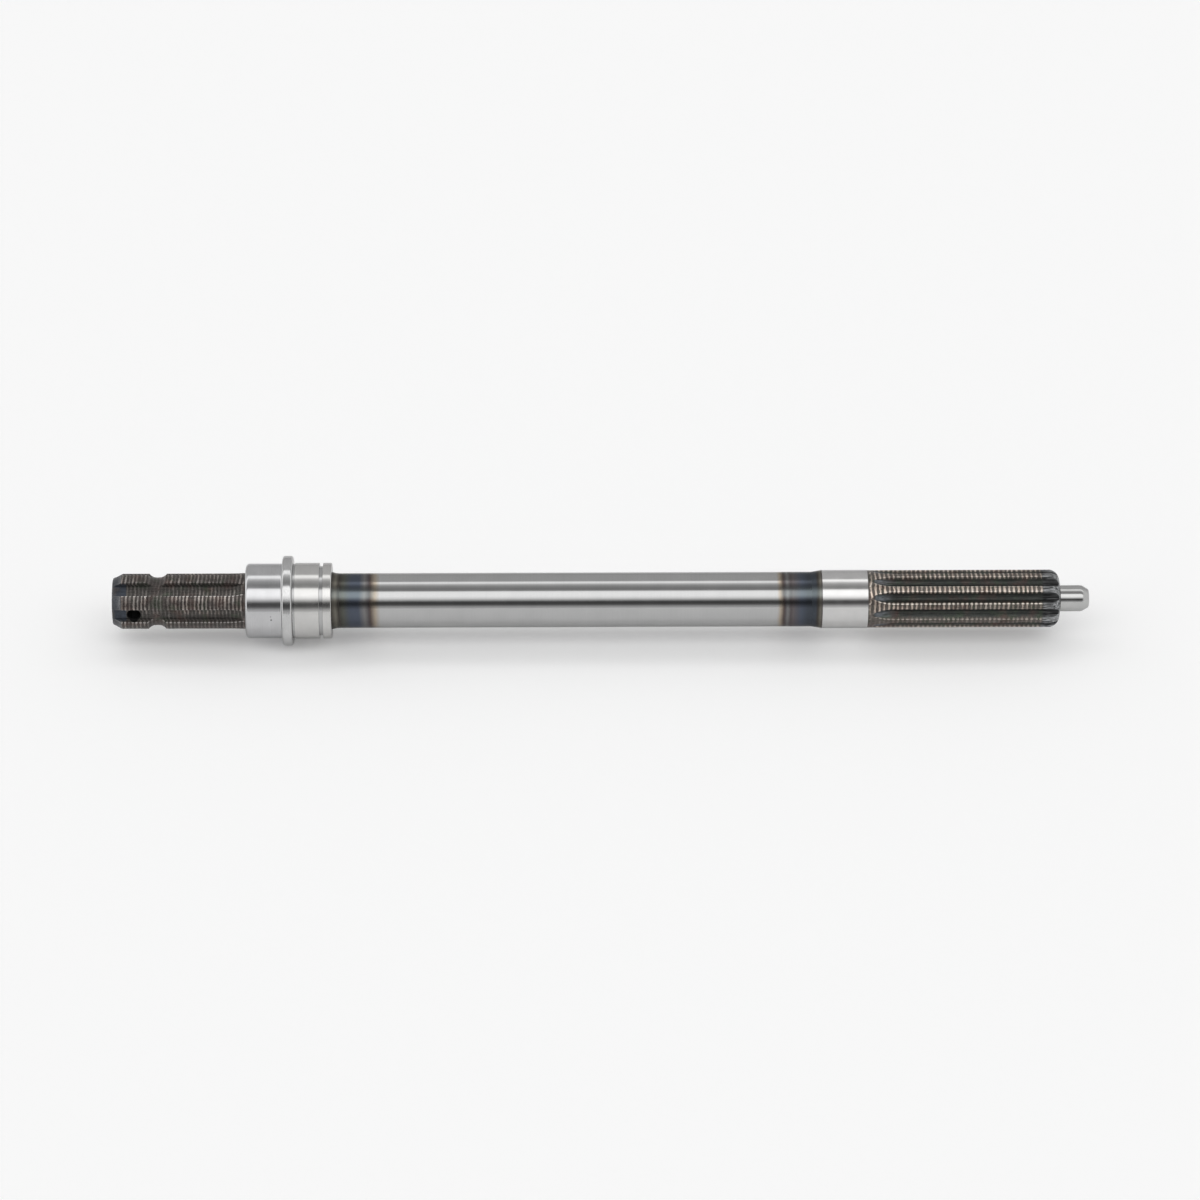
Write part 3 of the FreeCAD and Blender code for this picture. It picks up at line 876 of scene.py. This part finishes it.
def oxide_steel(name, light, dark, floor, stripe_width, floor_marks, spread, fade, end, run_outs_painted_sheen):
    """Hardened spline steel under dark oxide, with light worn feed marks and an end of another tone. The
    rubbed land edges and each tooth's marks are partly a painted highlight, and the run-outs may get a
    painted sheen.
    """
    material, surface, shader, place, along = new_material(name)
    labels = ("phase", "height", "worn_and_highlit", "tooth", "wear_and_highlight")
    phase, height, worn_and_highlit, tooth, wear_and_highlight = [shader.attribute(label) for label in labels]
    grain = shader.noise(place, 1.4, detail=4.0, roughness=0.75)
    patches = shader.noise(place, 0.13, detail=3.0, roughness=0.6)
    drawn_out = shader.vector_math("MULTIPLY", place, (0.12, 1.6, 1.6))
    streaks = shader.noise(drawn_out, 1.0, detail=3.0, roughness=0.7)
    drawn_round = shader.vector_math("MULTIPLY", place, (1.7, 0.25, 0.25))
    ticks = shader.noise(drawn_round, 1.0, detail=2.0, roughness=0.6)

    # Marks: where they are, how ragged they are, and how bright each one is.
    turns = shader.math("ADD", phase, shader.centred(shader.noise(place, 0.6, detail=3.0), MARK_WANDER))
    ridge = shader.math("ABSOLUTE", shader.centred(shader.math("FRACT", turns), 2.0))
    ragged = shader.math("ADD", ridge, shader.stray(grain, GRAIN_RAGGED, low=0.25, high=0.75))
    ragged = shader.math("ADD", ragged, shader.stray(ticks, TICK_RAGGED))
    number = shader.math("FLOOR", shader.math("ADD", turns, 0.5))
    number = shader.math("ADD", number, shader.times(tooth, TOOTH_APART))
    chance = shader.node("ShaderNodeTexWhiteNoise", noise_dimensions="1D")
    shader.plug(number, chance.inputs["W"])
    each = shader.remap(chance.outputs["Value"], 0.0, 1.0, *spread)
    # Each tooth's factor is partly its wear and partly a painted highlight.
    strength = shader.times(each, wear_and_highlight, fade(shader, along))
    clean = shader.remap(patches, 0.36, 0.6, 0.2, 1.0)
    on_floor = shader.remap(height, 0.3, 0.6, floor_marks, 1.0, smooth=True)
    stripe = shader.remap(ragged, *stripe_width, smooth=True)
    stripe = shader.times(stripe, clean, on_floor, strength, clamp=True)
    # Rubbed edges: real wear, lighter on each land's first edge as a painted highlight.
    rub_and_highlight = shader.times(worn_and_highlit, shader.remap(ragged, 0.1, 0.8, smooth=True), strength, clamp=True)

    # Oxide, darker on the floor, with rusty and green stains and long streaks.
    rust = shader.noise(place, 0.12, detail=3.0)
    green = shader.noise(shader.vector_math("ADD", place, GREEN_OFFSET), 0.14, detail=3.0)
    base = shader.blend(shader.remap(height, 0.2, 0.9), floor, dark)
    base = shader.blend(shader.remap(rust, 0.5, 0.7, 0.0, 0.75), base, RUST_STAIN)
    base = shader.blend(shader.remap(green, 0.53, 0.72, 0.0, 0.7), base, GREEN_STAIN)
    shade = shader.remap(grain, 0.25, 0.75, 0.6, 1.5)
    shade = shader.times(shade, shader.remap(streaks, 0.3, 0.7, 0.65, 1.4))
    base = shader.blend(1.0, base, shade, "MULTIPLY")
    # Painted sheen: a pale highlight painted low in the gaps, in the run-outs behind the journal.
    if run_outs_painted_sheen:
        low_down = shader.remap(height, 0.1, 0.6, 1.0, 0.0)
        painted_sheen = shader.times(shader.between(along, PAINTED_SHEEN_START, PAINTED_SHEEN_STOP), low_down)
        painted_sheen = shader.times(painted_sheen, shader.remap(streaks, 0.35, 0.65, 0.2, 1.0))
        base = shader.blend(painted_sheen, base, RUN_OUT_PAINTED_SHEEN)

    # The marks and the rubbed edges over the oxide, partly painted highlight, and then the end.
    warmth = shader.blend(shader.remap(rust, 0.35, 0.6), light, scaled(light, WARMER))
    colour = shader.blend(stripe, base, warmth)
    colour = shader.blend(rub_and_highlight, colour, scaled(light, RUBBED_AND_HIGHLIT))
    end_share = shader.remap(along, *end["from_to"], smooth=True)
    scuffs = shader.remap(streaks, 0.40, 0.64, *end["contrast"])
    if end["floor_only"]:
        end_share = shader.times(end_share, shader.remap(height, 0.3, 0.8, 1.0, 0.0))
    else:
        scuffs = shader.times(scuffs, shader.remap(height, 0.2, 0.9, 0.2, 1.1))
    colour = shader.blend(end_share, colour, shader.blend(1.0, end["colour"], scuffs, "MULTIPLY"))
    gloss = shader.math("MULTIPLY_ADD", stripe, -0.1, shader.remap(grain, 0.2, 0.8, 0.34, 0.52))
    relief = shader.math("MULTIPLY_ADD", ridge, 0.6, grain)
    dress(surface, shader, colour, 0.85, gloss, shader.bump(relief, strength=0.5, distance=0.06 * MM))
    return material


def blued_chamfer(name):
    """The output end's chamfer: dark blue, darker in the gaps and lightly scuffed at both its edges."""
    material, surface, shader, place, along = new_material(name)
    height, worn_and_highlit = shader.attribute("height"), shader.attribute("worn_and_highlit")
    grain = shader.noise(place, 1.1, detail=4.0, roughness=0.7)
    clouds = shader.noise(place, 0.25, detail=3.0)
    base = shader.blend(shader.remap(height, 0.3, 0.9), BLUED_GAP, BLUED_LAND)
    base = shader.blend(shader.remap(clouds, 0.5, 0.7, 0.0, 0.5), base, BLUED_BROWN)
    base = shader.blend(1.0, base, shader.remap(grain, 0.25, 0.75, 0.6, 1.45), "MULTIPLY")
    land_start = PTO_FACE + PTO_CHAMFER
    near_land = shader.remap(along, land_start - SCUFF_REACH, land_start, smooth=True)
    near_face = shader.remap(along, PTO_FACE + FACE_SCUFF_REACH, PTO_FACE, smooth=True)
    at_land = shader.times(near_land, shader.remap(grain, 0.36, 0.56), height, SCUFF_AT_LAND)
    at_face = shader.times(near_face, shader.remap(grain, 0.4, 0.7, 0.0, SCUFF_AT_FACE))
    # The scuffed land edges follow the rubbed-edge values, so they too are lighter on one edge as a painted
    # highlight.
    scuff = shader.math("ADD", at_land, shader.times(worn_and_highlit, SCUFF_ON_EDGES))
    scuff = shader.math("ADD", scuff, at_face, clamp=True)
    gloss = shader.remap(grain, 0.2, 0.8, 0.34, 0.5)
    relief = shader.bump(grain, strength=0.4, distance=0.05 * MM)
    dress(surface, shader, shader.blend(scuff, base, SCUFFED), 0.9, gloss, relief)
    return material


def dark_steel(name, colour, roughness):
    """Plain dark steel, grainy."""
    material, surface, shader, place, _ = new_material(name)
    grain = shader.noise(place, 1.1, detail=4.0, roughness=0.7)
    clouds = shader.noise(place, 0.2, detail=2.0)
    tone = shader.times(
        shader.stray(grain, 0.4, low=0.25, high=0.75, about=1.0),
        shader.stray(clouds, 0.15, about=1.0),
    )
    gloss = shader.remap(grain, 0.2, 0.8, roughness * 0.85, roughness * 1.2)
    relief = shader.bump(grain, strength=0.3, distance=0.04 * MM)
    dress(surface, shader, shader.blend(1.0, colour, tone, "MULTIPLY"), 0.9, gloss, relief)
    return material


# ---------------------------------------------------------------- light, floor and camera


def make_world():
    """A light tent whose brightness changes with the angle about the shaft, from the front over the top."""
    world = bpy.data.worlds.new("studio")
    bpy.context.scene.world = world
    world.use_nodes = True
    shader = Shader(world.node_tree)
    background = world.node_tree.nodes["Background"]
    east, north, up = shader.parts(shader.node("ShaderNodeTexCoord").outputs["Generated"])
    share = shader.remap(shader.angle_above_front(north, up), -TENT_DIP, 180.0 + TENT_DIP)
    span = 180.0 + 2 * TENT_DIP
    stops = [((degrees + TENT_DIP) / span, (level / TENT_STRENGTH,) * 3) for degrees, level in TENT_LEVELS]
    tent = shader.ramp(share, stops)
    for side, level in ((-1.0, TENT_LEFT), (1.0, TENT_RIGHT)):
        sideways = shader.remap(shader.times(east, side), *TENT_SIDES, smooth=True)
        tent = shader.blend(sideways, tent, (level / TENT_STRENGTH,) * 3)
    seen = shader.node("ShaderNodeLightPath").outputs["Is Camera Ray"]
    shader.plug(shader.blend(seen, tent, (BACKDROP / TENT_STRENGTH,) * 3), background.inputs["Color"])
    background.inputs["Strength"].default_value = TENT_STRENGTH


def make_floor():
    """A plain pale table top under the collar."""
    height = CAD_BOX[0].z - FLOOR_GAP
    corners = [(-1, -1), (1, -1), (1, 1), (-1, 1)]
    mesh = bpy.data.meshes.new("floor")
    mesh.from_pydata([(x * FLOOR_HALF, y * FLOOR_HALF, height) for x, y in corners], [], [(0, 1, 2, 3)])
    material, surface, *_ = new_material("pale_table")
    surface.inputs["Base Color"].default_value = (*FLOOR_COLOUR, 1.0)
    surface.inputs["Roughness"].default_value = FLOOR_ROUGHNESS
    surface.inputs["Specular IOR Level"].default_value = FLOOR_GLOSS
    surface.inputs["Emission Color"].default_value = (1.0, 1.0, 1.0, 1.0)
    surface.inputs["Emission Strength"].default_value = FLOOR_GLOW
    mesh.materials.append(material)
    floor = bpy.data.objects.new("floor", mesh)
    bpy.context.scene.collection.objects.link(floor)


def make_camera():
    """A long lens square to the shaft, with the output end a little nearer and the inner end higher."""
    yaw, elevation = math.radians(CAMERA_YAW), math.radians(CAMERA_ELEVATION)
    level = math.cos(elevation)
    back = Vector((-math.sin(yaw), -math.cos(yaw) * level, math.cos(yaw) * math.sin(elevation)))
    shaft = Vector((1.0, 0.0, 0.0))
    right = (shaft - shaft.dot(back) * back).normalized()
    right = Matrix.Rotation(-math.radians(CAMERA_ROLL), 3, back) @ right
    up = back.cross(right)
    lens = bpy.data.cameras.new("camera")
    lens.sensor_width = SENSOR_WIDTH
    lens.lens = SENSOR_WIDTH * CAMERA_DISTANCE / FRAME_WIDTH
    lens.clip_end = CLIP_END
    camera = bpy.data.objects.new("camera", lens)
    bpy.context.scene.collection.objects.link(camera)
    place = Matrix((right, up, back)).transposed().to_4x4()
    place.translation = TARGET - up * TARGET_DROP + back * CAMERA_DISTANCE
    camera.matrix_world = place
    bpy.context.scene.camera = camera


# ---------------------------------------------------------------- pieces


def make_sleeve():
    """The turned sleeve: seal seat, collar, relief, bearing seat and retaining ring groove."""
    materials = [
        bright_steel(
            "turned_steel", (0.505, 0.505, 0.512), roughness=0.085, ring_pitch=0.6, ring_contrast=0.22,
            speckle=0.04, ragged=0.07, nicks=NICKS,
        ),
        bright_steel(
            "collar_rim", (0.52, 0.52, 0.52), roughness=0.10, ring_pitch=0.4, ring_contrast=0.14, speckle=0.22
        ),
        bright_steel(
            "bearing_seat", (0.55, 0.545, 0.535), roughness=0.07, ring_pitch=0.55, ring_contrast=0.15,
            speckle=0.03, ragged=0.15,
        ),
        bright_steel(
            "cut_faces", (0.42, 0.42, 0.42), roughness=0.16, ring_pitch=0.4, ring_contrast=0.2, speckle=0.08
        ),
    ]
    turned, rim, bearing, cut = range(len(materials))
    front_centre = (SLEEVE_FRONT + SLEEVE_FRONT_ROUND, SEAL_RADIUS - SLEEVE_FRONT_ROUND)
    back_centre = (SLEEVE_BACK - SLEEVE_BACK_ROUND, SEAT_RADIUS - SLEEVE_BACK_ROUND)
    fillet_centre = (COLLAR_FRONT - COLLAR_FILLET, SEAL_RADIUS + COLLAR_FILLET)
    groove_back = SEAT_BACK + RING_GROOVE_WIDTH
    relief = SEAT_RADIUS - RELIEF_DEPTH
    edge = SEAT_RADIUS - FINE_EDGE
    collar_in = COLLAR_RADIUS - COLLAR_ROUND
    runs = [
        (turned, [(SLEEVE_FRONT, 0.0), (SLEEVE_FRONT, SLEEVE_BORE)]),
        (turned, arc(*front_centre, SLEEVE_FRONT_ROUND, 180, 90)),
        (turned, arc(*fillet_centre, COLLAR_FILLET, -90, 0)),
        (turned, [(COLLAR_FRONT, collar_in)]),
        (rim, arc(COLLAR_FRONT + COLLAR_ROUND, collar_in, COLLAR_ROUND, 180, 90)),
        (rim, arc(COLLAR_BACK - COLLAR_ROUND, collar_in, COLLAR_ROUND, 90, 0)),
        (cut, [(COLLAR_BACK, relief), (SEAT_FRONT - FINE_EDGE, relief), (SEAT_FRONT, SEAT_RADIUS)]),
        (bearing, [(SEAT_BACK - FINE_EDGE, SEAT_RADIUS), (SEAT_BACK, edge)]),
        (cut, [(SEAT_BACK, RING_GROOVE_FLOOR), (groove_back, RING_GROOVE_FLOOR), (groove_back, edge)]),
        (bearing, [(groove_back + FINE_EDGE, SEAT_RADIUS)]),
        (bearing, arc(*back_centre, SLEEVE_BACK_ROUND, 90, 0)),
        (bearing, [(SLEEVE_BACK, SLEEVE_BORE), (SLEEVE_BACK, 0.0)]),
    ]
    lathe("bearing_sleeve_turned", runs, materials, "bearing_sleeve")


def make_pto_stub():
    """The output stub: six-tooth spline, locking groove, pin hole, hidden journal and neck."""
    materials = [
        oxide_steel(
            "oxide_steel",
            light=(0.37, 0.345, 0.325),
            dark=(0.060, 0.052, 0.049),
            floor=(0.052, 0.048, 0.045),
            stripe_width=(0.4, 0.9),
            floor_marks=0.4,
            spread=(0.35, 1.25),
            fade=groove_fade,
            end=PTO_END,
            run_outs_painted_sheen=False,
        ),
        blued_chamfer("blued_end"),
        bright_steel("hidden_journal", (0.5, 0.5, 0.5), roughness=0.2, ring_pitch=0.5, ring_contrast=0.1),
        tinted_steel("neck_steel", (0.43, 0.43, 0.43), roughness=0.2),
        dark_steel("output_end_face", (0.068, 0.073, 0.082), roughness=0.42),
    ]
    oxide, blue, hidden, neck, face = range(len(materials))
    off_middle = LOCK_GROOVE_RADIUS - PTO_RADIUS + LOCK_GROOVE_FLOOR
    groove_half = math.sqrt(LOCK_GROOVE_RADIUS**2 - off_middle**2)
    groove_angle = math.degrees(math.asin(groove_half / LOCK_GROOVE_RADIUS))
    groove_centre = (LOCK_GROOVE_X, LOCK_GROOVE_FLOOR + LOCK_GROOVE_RADIUS)
    groove = arc(*groove_centre, LOCK_GROOVE_RADIUS, -90 - groove_angle, groove_angle - 90, 24)
    slope = FRONT_WELD - SLEEVE_BACK
    drop = STOP_RADIUS - BAR_RADIUS
    hollow = (slope**2 + drop**2) / (2 * drop)
    hollow_angle = math.degrees(math.asin(slope / hollow))
    centre = centre_hole(PTO_FACE, 1, **PTO_CENTRE)
    fine = PTO_MARKS["pitch"] / RINGS_PER_MARK
    runs = [
        (face, 0.0, 0.7, [*centre, (PTO_FACE, PTO_FACE_RADIUS)]),
        (blue, 0.0, 0.5, [(PTO_FACE + PTO_CHAMFER, PTO_RADIUS)]),
        (oxide, PTO_MARK_DEPTH, fine, [(LOCK_GROOVE_X - groove_half, PTO_RADIUS)]),
        (oxide, GROOVE_MARK_DEPTH, fine, groove),
        (oxide, PTO_MARK_DEPTH, fine, [(SLEEVE_FRONT, PTO_RADIUS)]),
        (hidden, 0.0, 2.0, [(SLEEVE_FRONT, SLEEVE_BORE), (SLEEVE_BACK, SLEEVE_BORE)]),
        (neck, 0.0, 1.0, [(SLEEVE_BACK, STOP_RADIUS)]),
        (neck, 0.0, 1.0, arc(FRONT_WELD, BAR_RADIUS + hollow, hollow, -90 - hollow_angle, -90, 12)),
        (neck, 0.0, 4.0, [(FRONT_WELD, 0.0)]),
    ]
    gap = StraightGap(PTO_TEETH, PTO_FULL_DEPTH, PTO_CUTTER, 1, (7, 5, 6))
    rings = marked_rings(runs)
    stub = splined("pto_stub_splined", gap, rings, PTO_MARKS, materials, "pto_stub")
    drill_pin_hole(stub, dark_steel("hole_wall", (0.02, 0.02, 0.02), roughness=0.6))


def drill_pin_hole(stub, wall):
    """Drills the pin hole through the output stub along Y, with a small break at each mouth."""
    clear = PTO_RADIUS + HOLE_CLEARANCE
    wide = PIN_HOLE_RADIUS + HOLE_BREAK
    flare = PTO_ROOT - 2 * HOLE_BREAK
    half = [(flare, PIN_HOLE_RADIUS), (flare + 2 * HOLE_BREAK, wide), (clear, wide)]
    outline = [(-y, r) for y, r in reversed(half)] + half
    angles = np.arange(HOLE_SIDES) * 2 * math.pi / HOLE_SIDES
    vertices = [
        (PIN_HOLE_X + r * math.cos(a), y, r * math.sin(a)) for y, r in outline for a in angles
    ]
    last = (len(outline) - 1) * HOLE_SIDES
    faces = [tuple(range(HOLE_SIDES)), tuple(reversed(range(last, last + HOLE_SIDES)))]
    for start in range(0, last, HOLE_SIDES):
        for k in range(HOLE_SIDES):
            k_next = (k + 1) % HOLE_SIDES
            faces.append((start + k, start + HOLE_SIDES + k, start + HOLE_SIDES + k_next, start + k_next))
    mesh = bpy.data.meshes.new("drill")
    mesh.from_pydata((np.array(vertices) * MM).tolist(), [], faces)
    mesh.materials.append(wall)
    drill = bpy.data.objects.new("drill", mesh)
    bpy.context.scene.collection.objects.link(drill)
    stub.data.materials.append(wall)
    cut = stub.modifiers.new("pin_hole", "BOOLEAN")
    cut.operation = "DIFFERENCE"
    cut.solver = "EXACT"
    cut.object = drill
    cut.material_mode = "TRANSFER"
    graph = bpy.context.evaluated_depsgraph_get()
    drilled = bpy.data.meshes.new_from_object(stub.evaluated_get(graph))
    stub.modifiers.clear()
    stub.data = drilled
    bpy.data.objects.remove(drill)


def make_drive_stub():
    """The inner stub: ramp, ground journal, ten-tooth spline and the pilot's bore."""
    materials = [
        oxide_steel(
            "spline_steel",
            light=(0.54, 0.475, 0.415),
            dark=(0.106, 0.095, 0.086),
            floor=(0.040, 0.043, 0.040),
            stripe_width=(0.46, 0.92),
            floor_marks=0.0,
            spread=(0.8, 1.1),
            fade=end_fade,
            end=DRIVE_END,
            run_outs_painted_sheen=True,
        ),
        tinted_steel("ramp_steel", (0.43, 0.43, 0.43), roughness=0.18),
        bright_steel(
            "ground_journal", (0.58, 0.575, 0.57), roughness=0.13, ring_pitch=0.35, ring_contrast=0.03
        ),
        dark_steel("inner_end_face", (0.07, 0.072, 0.075), roughness=0.4),
    ]
    oxide, ramp, journal, face = range(len(materials))
    fine = DRIVE_MARKS["pitch"] / RINGS_PER_MARK
    round_start = DRIVE_FACE - DRIVE_END_ROUND
    end_round = arc(round_start, DRIVE_RADIUS - DRIVE_END_ROUND, DRIVE_END_ROUND, 90, 0, 26)
    bore = [(DRIVE_FACE, PILOT_BORE_RADIUS), (PILOT_BORE_END, PILOT_BORE_RADIUS), (PILOT_BORE_END, 0.0)]
    runs = [
        (ramp, 0.0, 4.0, [(REAR_WELD, 0.0), (REAR_WELD, BAR_RADIUS)]),
        (ramp, 0.0, 0.6, [(SLOPE_X, SLOPE_RADIUS), (JOURNAL_FRONT, JOURNAL_RADIUS)]),
        (journal, 0.0, 1.5, [(JOURNAL_BACK - FINE_EDGE, JOURNAL_RADIUS)]),
        (oxide, 0.0, fine, [(JOURNAL_BACK, DRIVE_RADIUS)]),
        (oxide, DRIVE_MARK_DEPTH, fine, [(round_start, DRIVE_RADIUS)]),
        (oxide, 0.0, fine, end_round),
        (face, 0.0, 1.0, bore),
    ]
    gap = RoundGap(DRIVE_TEETH, DRIVE_FULL_DEPTH, DRIVE_CUTTER, -1, (4, 4, 4))
    rings = marked_rings(runs)
    splined("drive_stub_splined", gap, rings, DRIVE_MARKS, materials, "drive_stub")


def make_pilot():
    """The ground pilot pin: hidden shank, shoulder, rounded tip and centre hole."""
    colour = (0.465, 0.465, 0.46)
    steel = bright_steel("ground_steel", colour, roughness=0.12, ring_pitch=0.4, ring_contrast=0.06)
    shoulder = (PILOT_TIP - PILOT_CHAMFER, PILOT_RADIUS)
    tip = (PILOT_TIP, PILOT_FACE_RADIUS)
    outline = [
        (PILOT_FOOT, 0.0),
        (PILOT_FOOT, PILOT_BORE_RADIUS - PILOT_BREAK),
        (PILOT_FOOT + PILOT_BREAK, PILOT_BORE_RADIUS),
        (DRIVE_FACE, PILOT_BORE_RADIUS),
        (DRIVE_FACE, PILOT_RADIUS - PILOT_BREAK),
        (DRIVE_FACE + PILOT_BREAK, PILOT_RADIUS),
        *corner_arc((DRIVE_FACE, PILOT_RADIUS), shoulder, tip, PILOT_SHOULDER_ROUND),
        *corner_arc(shoulder, tip, (PILOT_TIP, 0.0), PILOT_TIP_ROUND),
        *reversed(centre_hole(PILOT_TIP, -1, **PILOT_CENTRE)),
    ]
    lathe("pilot_pin_ground", [(0, outline)], [steel], "pilot_pin")


def make_bar():
    """The plain polished bar."""
    steel = tinted_steel("bar_steel", (0.43, 0.43, 0.43), roughness=0.09)
    outline = [(FRONT_WELD, 0.0)]
    outline += [(x, BAR_RADIUS) for x in spaced(FRONT_WELD, REAR_WELD, BAR_STEP)]
    outline += [(REAR_WELD, 0.0)]
    lathe("centre_bar_polished", [(0, outline)], [steel], "centre_bar")


make_world()
make_floor()
make_camera()
make_pto_stub()
make_sleeve()
make_bar()
make_drive_stub()
make_pilot()
bpy.context.scene.view_settings.view_transform = "Standard"
